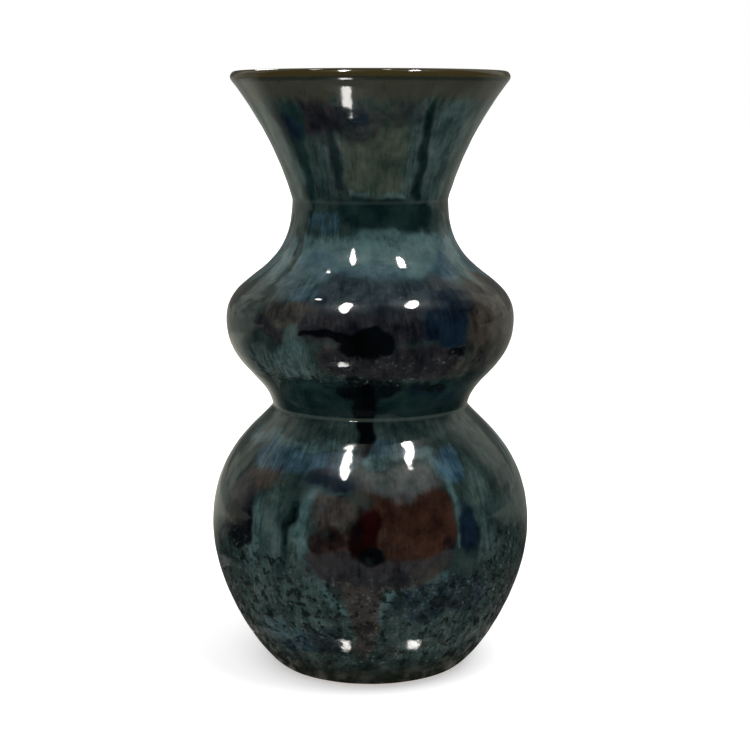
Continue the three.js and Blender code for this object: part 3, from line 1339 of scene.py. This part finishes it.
@dataclass(frozen=True)
class RunGlaze:
    """The outer glaze: dark green, with the other colours run down over it and a mottle near the foot, which
    is partly a painted reflection of a speckled top; shade is painted under the lip's roll and towards the
    foot.

    Attributes:
        waist: The height of the waist's crease.
        neck: The height of the neck's crease.
        top: The height of the lip.
        ground_light: The ground's lighter shade.
        ground_dark: The ground's darker shade.
        drip: The brown that drips from the lip.
        rim: The darker brown that the lip itself breaks to.
        crease: The pale line where the glaze is thin in a crease.
        spot: The near black of the mottle's dark spots, also painted as a shadow under the lip's roll.
        fleck: The pale flecks of the mottle, partly a painted reflection of a speckled top.
        settled: How much darker the glaze is where it has settled, as a share of each colour.
        warmed: How much warmer it is in other patches.
        foot: The olive black of the burnt streaks, which is also painted towards the foot as shade.
        roughness: How dull the shine is.
        drip_reach: How far below the top the drips start and stop fading in.
        burnt_reach: The same for the burnt streaks under the lip.
        roll_shadow: How far below the top the painted shadow under the roll is.
        rim_reach: How far below the top the lip starts and stops breaking to the rim's brown.
        waist_line: How pale the line in the waist's crease is.
        neck_line: How pale the line in the neck's crease is.
        crease_width: How far from a crease its line starts and stops fading.
        foot_reach: The heights between which the painted shade at the foot fades.
        zone_edge: How wide the edge of the mottle's zone is on each side.
    """

    waist: float
    neck: float
    top: float
    ground_light: Colour = hue(0.020, 0.034, 0.031)
    ground_dark: Colour = hue(0.004, 0.011, 0.010)
    drip: Colour = hue(0.034, 0.031, 0.020)
    rim: Colour = hue(0.030, 0.023, 0.008)
    crease: Colour = hue(0.060, 0.078, 0.066)
    spot: Colour = hue(0.002, 0.004, 0.004)
    fleck: Colour = hue(0.080, 0.096, 0.088)
    settled: Colour = hue(0.30, 0.36, 0.38)
    warmed: Colour = hue(1.25, 0.95, 0.80)
    foot: Colour = hue(0.006, 0.007, 0.004)
    roughness: float = 0.05
    drip_reach: Span = (18.0, 11.0)
    burnt_reach: Span = (12.0, 8.0)
    roll_shadow: float = 4.6
    rim_reach: Span = (4.0, 3.2)
    waist_line: float = 0.5
    neck_line: float = 0.15
    crease_width: Span = (0.2, 1.3)
    foot_reach: Span = (6.0, 20.0)
    zone_edge: float = 4.0
    # The patterns, from the ones that every colour has to the mottle's own.
    clouds: Grain = Grain(12.0, 5.0, 0.62)  # thin and thick parts
    streaks: Grain = Grain(3.8, 4.0, 0.62)  # the broader streaks
    finest: Grain = Grain(1.4, 3.0, 0.6)  # the finest ones
    patches: Grain = Grain(8.0, 2.0)  # where those are strong or weak
    blotches: Grain = Grain(4.5, 4.0, 0.6)  # edges that stray without running
    settling: Grain = Grain(5.5, 4.0, 0.62)
    warming: Grain = Grain(8.0, 3.0, 0.6)
    dulling: Grain = Grain(9.0, 2.0)
    waves: Grain = Grain(7.0, 1.0)  # of the skin
    lumps: Grain = Grain(4.0, 2.0, 0.4)  # of the skin where the mottle is
    zone: Grain = Grain(9.0, 2.0)  # the mottle's edge
    blots: Grain = Grain(4.6, 4.0, 0.6)
    grit: Grain = Grain(2.0, 3.0, 0.6)
    shadows: Grain = Grain(9.0, 3.0, 0.6)
    # How strongly each of these shows, at most.
    settled_share: float = 0.55
    warmed_share: float = 0.5
    shadow_share: float = 0.6
    fleck_share: float = 0.6
    spot_share: float = 0.88
    drip_share: float = 0.65
    burnt_share: float = 0.9
    roll_share: float = 0.5
    foot_share: float = 0.8
    fine_least: float = 0.2  # the least that the finest streaks keep of their strength

    def material(self) -> bpy.types.Material:
        """Makes the run glaze.

        Returns:
            The material.
        """
        tree = FinishTree("run_glaze")
        place = tree.place()
        height = tree.height()
        patchy = tree.noise(place, self.patches).rise(-0.7, 0.5) * (1 - self.fine_least) + self.fine_least
        fine = tree.noise(tree.grain_place(height, FINE_SQUASH), self.finest) * patchy
        streak = tree.noise(tree.grain_place(height, STREAK_SQUASH), self.streaks)
        cloud = tree.noise(place, self.clouds)
        blotch = tree.noise(place, self.blotches)
        share = (cloud * 0.6 + streak * 0.4 + 0.5).rise(0, 1)
        colour = tree.mix(share, self.ground_dark, self.ground_light)
        fur = fine + streak * 0.8
        for tone, shade in SHADES.items():
            fleece = fine * shade.fine + streak * (1 - shade.fine) * 0.7 + blotch * 0.45
            cover = tree.field(tone.value) + fleece * shade.feather
            body = tree.mix((cloud * 0.65 + fur * shade.furred + 0.5).rise(0, 1), shade.thick, shade.thin)
            colour = tree.mix(cover.rise(-shade.edge, shade.edge) * shade.solid, colour, body)
        colour = self._stained(tree, colour, place, streak)
        colour = self._mottled_and_reflected(tree, colour, place)
        colour = self._browned(tree, colour, height, fine, streak)
        colour = self._creased(tree, colour, height, streak)
        roughness = tree.noise(place, self.dulling) * 0.015 + self.roughness
        mottle = tree.field(Tone.MOTTLE_AND_REFLECTION.value).rise(-self.zone_edge, self.zone_edge)
        lumps = mottle * tree.noise(place, self.lumps)
        skin = tree.noise(place, self.waves) + fine * 0.05 + lumps * 0.7
        return tree.dressed(colour, roughness, tree.bump(skin, distance=0.03, strength=1.0))

    def _stained(self, tree: FinishTree, colour: Signal, place: Signal, streak: Signal) -> Signal:
        """Darkens and tints every colour in soft patches, as a thick glaze settles.

        Args:
            tree: The material's tree.
            colour: The colour so far.
            place: The place on the object.
            streak: The broader streaks.

        Returns:
            The stained colour.
        """
        settled = tree.noise(place, self.settling) + streak * 0.5
        colour = tree.mix(settled.rise(-0.1, 0.9) * self.settled_share, colour, self.settled, "MULTIPLY")
        warm = tree.noise(place, self.warming)
        return tree.mix(warm.rise(0.1, 0.9) * self.warmed_share, colour, self.warmed, "MULTIPLY")

    def _mottled_and_reflected(self, tree: FinishTree, colour: Signal, place: Signal) -> Signal:
        """Adds pale flecks and dark spots where the mottle's field is, partly as a painted reflection of a
        speckled top.

        Args:
            tree: The material's tree.
            colour: The colour so far.
            place: The place on the object.

        Returns:
            The mottled colour.
        """
        edge = tree.noise(place, self.zone) * self.zone_edge
        zone = (tree.field(Tone.MOTTLE_AND_REFLECTION.value) + edge).rise(-self.zone_edge, self.zone_edge)
        blot = tree.noise(place, self.blots)
        grain = tree.noise(place, self.grit)
        shadow = tree.noise(place, self.shadows)
        flecks_and_reflection = (grain * 0.9 - blot * 0.3).rise(0.1, 0.7)
        spots = (blot + grain * 0.5).rise(0.05, 0.35)
        colour = tree.mix(zone * shadow.rise(0.0, 0.7) * self.shadow_share, colour, self.spot)
        colour = tree.mix(zone * flecks_and_reflection * self.fleck_share, colour, self.fleck)
        return tree.mix(zone * spots * self.spot_share, colour, self.spot)

    def _browned(
        self, tree: FinishTree, colour: Signal, height: Signal, fine: Signal, streak: Signal
    ) -> Signal:
        """Breaks the glaze to brown at the lip, with drips and burnt streaks under it.

        Args:
            tree: The material's tree.
            colour: The colour so far.
            height: The height on the object.
            fine: The finest streaks.
            streak: The broader streaks.

        Returns:
            The colour with its brown lip.
        """
        reaches = (self.drip_reach, self.burnt_reach, self.rim_reach)
        drips, scorch, rim = ([self.top - below for below in reach] for reach in reaches)
        ragged = height + fine * 2.4 + streak * 4.0
        colour = tree.mix(ragged.rise(*drips) * self.drip_share, colour, self.drip)
        burnt = (streak * 0.7 + fine * 0.3).rise(0.1, 0.9) * ragged.rise(*scorch)
        colour = tree.mix(burnt * self.burnt_share, colour, self.foot)
        # Painted shadow: a dark line just under the lip's roll.
        under = 1 - abs(height + streak * 0.5 - (self.top - self.roll_shadow)).rise(0.4, 1.6)
        colour = tree.mix(under * self.roll_share, colour, self.spot)
        return tree.mix((height + streak * 0.3).rise(*rim), colour, self.rim)

    def _creased(self, tree: FinishTree, colour: Signal, height: Signal, streak: Signal) -> Signal:
        """Thins the glaze in the two creases, and paints shade towards the foot.

        Args:
            tree: The material's tree.
            colour: The colour so far.
            height: The height on the object.
            streak: The broader streaks.

        Returns:
            The finished colour.
        """
        for level, share in ((self.waist, self.waist_line), (self.neck, self.neck_line)):
            thin = 1 - abs(height - level).rise(*self.crease_width)
            colour = tree.mix(thin * share, colour, self.crease)
        # Painted shade: the glaze darkens towards the foot.
        foot_shade = 1 - (height + streak * 3.0).rise(*self.foot_reach)
        return tree.mix(foot_shade * self.foot_share, colour, self.foot)


@dataclass(frozen=True)
class LinerGlaze:
    """The glossy olive-brown glaze inside."""

    light: Colour = hue(0.060, 0.050, 0.030)
    dark: Colour = hue(0.014, 0.012, 0.008)
    roughness: float = 0.1
    squash: float = 0.12  # the height's share of its own size, so that streaks run up the wall

    def material(self) -> bpy.types.Material:
        """Makes the liner glaze.

        Returns:
            The material.
        """
        tree = FinishTree("liner_glaze")
        streak = tree.noise(tree.place((1, 1, self.squash)), Grain(3.0, 4.0, 0.6))
        cloud = tree.noise(tree.place(), Grain(22.0))
        colour = tree.mix((cloud * 0.5 + streak * 0.4 + 0.5).rise(0, 1), self.dark, self.light)
        skin = tree.noise(tree.place(), Grain(4.0, 2.0))
        roughness = cloud * 0.03 + self.roughness
        return tree.dressed(colour, roughness, tree.bump(skin, distance=0.06, strength=1.0))


@dataclass(frozen=True)
class Stoneware:
    """Bare fired clay: buff, with iron specks and a fine tooth."""

    light: Colour = hue(0.36, 0.26, 0.17)
    dark: Colour = hue(0.22, 0.145, 0.09)
    speck: Colour = hue(0.05, 0.03, 0.02)
    roughness: float = 0.85

    def material(self) -> bpy.types.Material:
        """Makes the bare clay.

        Returns:
            The material.
        """
        tree = FinishTree("stoneware")
        place = tree.place()
        cloud = tree.noise(place, Grain(15.0, 4.0))
        tooth = tree.noise(place, Grain(0.7, 3.0, 0.7))
        speckle = tree.noise(place, Grain(1.1, 2.0))
        colour = tree.mix((cloud * 0.6 + tooth * 0.3 + 0.5).rise(0, 1), self.dark, self.light)
        colour = tree.mix(speckle.rise(0.85, 1.05), colour, self.speck)
        roughness = tooth * 0.06 + self.roughness
        return tree.dressed(colour, roughness, tree.bump(tooth, distance=0.12, strength=0.8))


# ---------------------------------------------------------------------------------------------
# The studio
# ---------------------------------------------------------------------------------------------


@dataclass(frozen=True)
class Lamp:
    """A soft round or long light that only shows as a reflection in the glaze.

    Attributes:
        start: How far round one end is, seen from the vase, and its angle above the horizon.
        end: The same for its other end.
        width: Half its width, as an angle.
        strength: How bright it is.
        haze: The brightness of the haze round it, as a share of its own.
    """

    start: tuple[float, float]
    end: tuple[float, float]
    width: float
    strength: float
    haze: float = 0.025


@dataclass(frozen=True)
class MirroredTop:
    """What the glaze mirrors in place of the pale floor: a dark speckled top, lit behind the vase.

    Distances are measured from the vase's axis.

    Attributes:
        near_dark: The top's colour near the vase, between its speckles.
        near_light: The colour of the speckles.
        far_front: The top's colour further off, in front and at the sides.
        lit_left: Its colour behind the vase, on the left.
        lit_right: The same on the right.
        far_left: Its colour far behind the vase, on the left.
        far_right: The same on the right.
        speckle: The pattern of the speckles.
        near_span: Where the speckles fade out.
        behind_span: How far back the lit part fades in.
        far_span: Where that gives way to the far colours.
        side_span: Where left turns to right.
        inner_ring: Where a polished ring starts fading in, is in, starts fading out and is out.
        outer_ring: The same for a ring on the left only.
        ring_end: Where that one ends, from left to right.
        polish: How bright the rings mirror the lamps.
        polish_roughness: How dull they do.
    """

    near_dark: Colour = hue(0.02, 0.019, 0.017)
    near_light: Colour = hue(0.21, 0.20, 0.175)
    far_front: Colour = hue(0.015, 0.016, 0.018)
    lit_left: Colour = hue(0.76, 0.75, 0.64)
    lit_right: Colour = hue(0.30, 0.295, 0.25)
    far_left: Colour = hue(0.42, 0.43, 0.38)
    far_right: Colour = hue(0.34, 0.34, 0.30)
    speckle: Grain = Grain(8.0, 4.0)
    near_span: Span = (150.0, 230.0)
    behind_span: Span = (90.0, 430.0)
    far_span: Span = (750.0, 1050.0)
    side_span: Span = (-150.0, 150.0)
    inner_ring: tuple[Span, Span] = ((72.0, 75.0), (80.0, 83.0))
    outer_ring: tuple[Span, Span] = ((172.0, 176.0), (208.0, 214.0))
    ring_end: Span = (-20.0, 20.0)
    polish: Colour = hue(0.3, 0.3, 0.3)
    polish_roughness: float = 0.06

    def shader(self, tree: FinishTree) -> bpy.types.NodeSocket:
        """Adds the top's shader to a tree, and gives its output.

        Args:
            tree: The floor's tree.

        Returns:
            The output.
        """
        place = tree.place()
        side, depth, _ = tree.axes(place)
        away = (side * side + depth * depth) ** 0.5
        grit = tree.noise(place, self.speckle).rise(-0.2, 0.6)
        left = 1 - side.rise(*self.side_span)
        near = tree.mix(grit, self.near_dark, self.near_light)
        far = tree.mix(left, self.far_right, self.far_left)
        lit = tree.mix(away.rise(*self.far_span), tree.mix(left, self.lit_right, self.lit_left), far)
        seen = tree.mix(1 - away.rise(*self.near_span), self.far_front, near)
        seen = tree.mix(depth.rise(*self.behind_span) * (grit * 0.4 + 0.6), seen, lit)
        edges = (self.inner_ring, self.outer_ring)
        inner, outer = (away.rise(*start) * (1 - away.rise(*stop)) for start, stop in edges)
        rings = inner + outer * (1 - side.rise(*self.ring_end))
        polish = {"Color": tree.mix(rings, UNLIT, self.polish), "Roughness": self.polish_roughness}
        shine = tree.node("ShaderNodeBsdfGlossy", inputs=polish)
        glow = tree.node("ShaderNodeEmission", inputs={"Color": seen, "Strength": 1.0})
        return tree.node("ShaderNodeAddShader", inputs={0: glow.outputs[0], 1: shine.outputs[0]}).outputs[0]


@dataclass(frozen=True)
class Room:
    """The dim room that the glaze mirrors: dark in front and lit at the sides.

    A direction's parts are each from -1 to 1: to the right, backwards and up.

    Attributes:
        front_low: The colour in front, low down.
        front_high: The same, high up.
        back: The colour straight behind.
        left_low: The left wall's colour, low down.
        left_high: The same, high up.
        right_low: The right wall's colour, low down.
        right_high: The same, high up.
        front_span: How far up the front changes colour.
        wall_rise: How far up the walls change colour.
        side_span: Where left turns to right.
        wall_span: How far back the walls fade in.
        wall_skew: How much further forward the left wall starts than the right one.
        back_span: How far back they give way to the back.
        patches: The scale of the walls' uneven patches.
        patch_span: The noise between which they go from dim to full.
        dimmest: The least that a wall shows.
    """

    front_low: Colour = hue(0.012, 0.014, 0.018)
    front_high: Colour = hue(0.05, 0.055, 0.06)
    back: Colour = hue(0.12, 0.12, 0.11)
    left_low: Colour = hue(0.42, 0.43, 0.38)
    left_high: Colour = hue(0.58, 0.60, 0.53)
    right_low: Colour = hue(0.40, 0.40, 0.36)
    right_high: Colour = hue(0.56, 0.58, 0.52)
    front_span: Span = (0.2, 0.9)
    wall_rise: Span = (0.15, 0.45)
    side_span: Span = (-0.5, 0.5)
    wall_span: Span = (0.15, 0.50)
    wall_skew: float = 0.07
    back_span: Span = (0.78, 0.92)
    patches: float = 5.0
    patch_span: Span = (0.36, 0.62)
    dimmest: float = 0.35


@dataclass
class Studio:
    """A pale floor, an even soft light and the camera.

    Attributes:
        eye: Where the camera is, in metres.
        target: Where it looks, in metres.
        lens: Its focal length.
        shift: How far its frame is shifted sideways, as a share of the frame.
        lamps: The lights that only show as reflections.
        suns: The soft lights from above: a name, how far round and how high each is, and its strength.
        sun_width: How wide each of those is, as an angle.
        ambient: The surround's light on everything.
        backdrop: The surround that the camera sees.
        floor_size: The floor's width, in metres.
        floor_glow: How brightly the floor shines by itself.
        mirrored: What the glaze mirrors in place of the floor.
        room: What it mirrors in place of the surround.
    """

    eye: tuple[float, float, float] = (0.0, -0.830, 0.286)
    target: tuple[float, float, float] = (0.0, 0.0, 0.1504)
    lens: float = 78.0
    shift: float = 0.0063
    lamps: tuple[Lamp, ...] = (
        Lamp((-28, 51), (-50, 74), 3.4, 60),
        Lamp((52, 59), (88, 69), 3.4, 60),
        Lamp((-104, 66), (-104, 66), 1.7, 30, 0.0),
        Lamp((-166, 28), (-166, 28), 3.0, 30, 0.0),
        Lamp((-140, 63), (-140, 63), 2.6, 30, 0.0),
        Lamp((127, 82), (127, 82), 2.6, 30, 0.0),
    )
    suns: tuple[tuple[str, float, float, float], ...] = (("left", -35, 58, 0.8), ("right", 60, 62, 1.4))
    sun_width: float = 35.0
    ambient: Colour = hue(0.62, 0.62, 0.62)
    backdrop: Colour = hue(1, 1, 1)
    floor_size: float = 60.0
    floor_glow: float = 0.4
    mirrored: MirroredTop = MirroredTop()
    room: Room = Room()

    def build(self) -> None:
        """Makes the camera, the floor, the lights and the world."""
        self._camera()
        self._floor()
        self._suns()
        self._world()
        scene = bpy.context.scene
        scene.view_settings.view_transform = "Standard"
        scene.view_settings.look = "None"

    def _camera(self) -> None:
        """Sets the camera."""
        data = bpy.data.cameras.new("camera")
        data.lens = self.lens
        data.shift_x = self.shift
        camera = bpy.data.objects.new("camera", data)
        camera.location = self.eye
        way = Vector(self.target) - Vector(self.eye)
        camera.rotation_euler = way.to_track_quat("-Z", "Y").to_euler()
        bpy.context.scene.collection.objects.link(camera)
        bpy.context.scene.camera = camera

    def _floor(self) -> None:
        """Makes a pale floor, which the glaze mirrors as a dim speckled top."""
        mesh = bmesh.new()
        bmesh.ops.create_grid(mesh, x_segments=1, y_segments=1, size=self.floor_size / 2)
        data = bpy.data.meshes.new("floor")
        mesh.to_mesh(data)
        mesh.free()
        floor = bpy.data.objects.new("floor", data)
        bpy.context.scene.collection.objects.link(floor)
        data.materials.append(self._floor_finish())

    def _floor_finish(self) -> bpy.types.Material:
        """Plain and pale, except in reflections.

        Returns:
            The floor's material.
        """
        tree = FinishTree("floor")
        plain = {
            "Base Color": hue(0.9, 0.9, 0.9),
            "Roughness": 1.0,
            "Specular IOR Level": 0.0,
            "Emission Color": hue(1, 1, 1),
            "Emission Strength": self.floor_glow,
        }
        for name, value in plain.items():
            tree.shader.inputs[name].default_value = value
        ray = tree.node("ShaderNodeLightPath").outputs["Is Glossy Ray"]
        either = {0: ray, 1: tree.shader.outputs["BSDF"], 2: self.mirrored.shader(tree)}
        seen = tree.node("ShaderNodeMixShader", inputs=either)
        tree.feed(tree.end.inputs["Surface"], seen.outputs[0])
        return tree.material

    def _suns(self) -> None:
        """Adds two soft lights from above."""
        for name, turn, rise, strength in self.suns:
            data = bpy.data.lights.new(name, "SUN")
            data.energy = strength
            data.angle = math.radians(self.sun_width)
            light = bpy.data.objects.new(name, data)
            light.rotation_euler = direction(turn, rise).to_track_quat("Z", "Y").to_euler()
            light.visible_glossy = False
            bpy.context.scene.collection.objects.link(light)

    def _world(self) -> None:
        """Makes a white surround, whose reflection in the glaze is a dim room with small lamps."""
        world = bpy.data.worlds.new("studio")
        bpy.context.scene.world = world
        tree = SurroundTree(world)
        way = tree.node("ShaderNodeTexCoord").outputs["Generated"]
        seen = tree.room(way, self.room)
        for lamp in self.lamps:
            seen = tree.lamp(seen, way, lamp)
        ray = tree.node("ShaderNodeLightPath").outputs
        soft = tree.mix(Signal(tree, ray["Is Camera Ray"]), self.ambient, self.backdrop)
        tree.finish(tree.mix(Signal(tree, ray["Is Glossy Ray"]), soft, seen))
        world.cycles.sampling_method = "NONE"


def direction(turn: float, rise: float) -> Vector:
    """The unit vector towards a place in the surround.

    Args:
        turn: How far round it is.
        rise: Its angle above the horizon.

    Returns:
        The vector.
    """
    around, up = math.radians(turn), math.radians(rise)
    return Vector((math.cos(up) * math.sin(around), -math.cos(up) * math.cos(around), math.sin(up)))


class SurroundTree(Tree):
    """The node tree of the surround."""

    LAMPLIGHT = (1.0, 0.97, 0.93)
    HAZE_POWER = 50  # how narrow the glow round a lamp is
    LAMP_EDGE: Span = (0.5, 1.0)  # where a lamp's edge fades, as a share of its size squared
    FACING: Span = (0.0, 0.1)  # leaves out the lamp's double on the opposite side

    def room(self, way: bpy.types.NodeSocket, room: Room) -> Signal:
        """The dim room that the glaze mirrors.

        Args:
            way: The direction looked in.
            room: The room.

        Returns:
            Its colour in that direction.
        """
        side, depth, up = self.axes(way)
        behind = depth.rise(*room.back_span)
        wall = (depth - side * room.wall_skew).rise(*room.wall_span) * (1 - behind)
        high = up.rise(*room.wall_rise)
        left_wall = self.mix(high, room.left_low, room.left_high)
        right_wall = self.mix(high, room.right_low, room.right_high)
        lit = self.mix(1 - side.rise(*room.side_span), right_wall, left_wall)
        unlit = self.mix(up.rise(*room.front_span), room.front_low, room.front_high)
        unlit = self.mix(behind, unlit, room.back)
        uneven = self.cloud(way, room.patches).rise(*room.patch_span)
        return self.mix(wall * (uneven * (1 - room.dimmest) + room.dimmest), unlit, lit)

    def cloud(self, way: bpy.types.NodeSocket, scale: float) -> Signal:
        """Noise from 0 to 1 over directions."""
        made = self.node("ShaderNodeTexNoise", inputs={"Vector": way, "Scale": scale, "Detail": 4.0})
        return Signal(self, made.outputs["Fac"])

    def lamp(self, under: Signal, way: bpy.types.NodeSocket, lamp: Lamp) -> Signal:
        """Adds one lamp and the soft glow round it to what the glaze mirrors.

        Args:
            under: What is mirrored so far.
            way: The direction looked in.
            lamp: The lamp.

        Returns:
            The colour with the lamp over it.
        """
        start, end = direction(*lamp.start), direction(*lamp.end)
        middle = (start + end).normalized()
        length = (end - start).normalized() if lamp.start != lamp.end else middle.orthogonal().normalized()
        half_width = math.tan(math.radians(lamp.width))
        half_length = half_width + math.tan(start.angle(end) / 2)
        facing = self.along(way, middle)
        far = self.along(way, length) / facing / half_length
        wide = self.along(way, middle.cross(length)) / facing / half_width
        away = far * far + wide * wide
        seen = facing.rise(*self.FACING)
        bright = tuple(part * lamp.strength for part in self.LAMPLIGHT)
        glow = tuple(part * lamp.haze for part in bright)
        lit = self.mix(seen * facing**self.HAZE_POWER, under, hue(*glow))
        return self.mix(seen * (1 - away.rise(*self.LAMP_EDGE)), lit, hue(*bright))

    def along(self, way: bpy.types.NodeSocket, axis: Vector) -> Signal:
        """How far a direction goes along an axis."""
        made = self.node("ShaderNodeVectorMath", {"operation": "DOT_PRODUCT"}, {0: way, 1: axis})
        return Signal(self, made.outputs["Value"])

    def finish(self, colour: Signal) -> None:
        """Ends the tree in a background of that colour."""
        back = self.node("ShaderNodeBackground", inputs={"Color": colour, "Strength": 1.0})
        self.node("ShaderNodeOutputWorld", inputs={"Surface": back.outputs[0]})


# ---------------------------------------------------------------------------------------------
# The vase
# ---------------------------------------------------------------------------------------------


@dataclass
class Vase:
    """The whole vase: three sections of clay in two coats of glaze."""

    outline: Outline = field(default_factory=Outline)

    def build(self) -> None:
        """Builds and dresses each piece, and puts it on the frame."""
        shape = self.outline
        coat = GlazeCoat(shape).build()
        run_glaze = RunGlaze(shape.waist_level, shape.neck_level, shape.top)
        self._place(coat, run_glaze.material(), "outer_glaze")
        self._place(Liner(shape).build(), LinerGlaze().material(), "liner_glaze")
        clay = Stoneware().material()
        for node, piece in Clay(shape).build().items():
            self._place(piece, clay, node)

    def _place(self, piece: bpy.types.Object, finish: bpy.types.Material, node: str) -> None:
        """Gives a piece its finish and says which node it stands for.

        Args:
            piece: The piece.
            finish: Its material.
            node: The frame's node.
        """
        piece.data.materials.append(finish)
        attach(piece, "root")
        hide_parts(node)
        LOG.info("%s stands for %s, with %d faces", piece.name, node, len(piece.data.polygons))


def main() -> None:
    """Loads the frame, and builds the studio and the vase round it."""
    logging.basicConfig(level=logging.INFO, format="%(name)s: %(message)s")
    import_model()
    Studio().build()
    Vase().build()


if __name__ == "__main__":
    main()
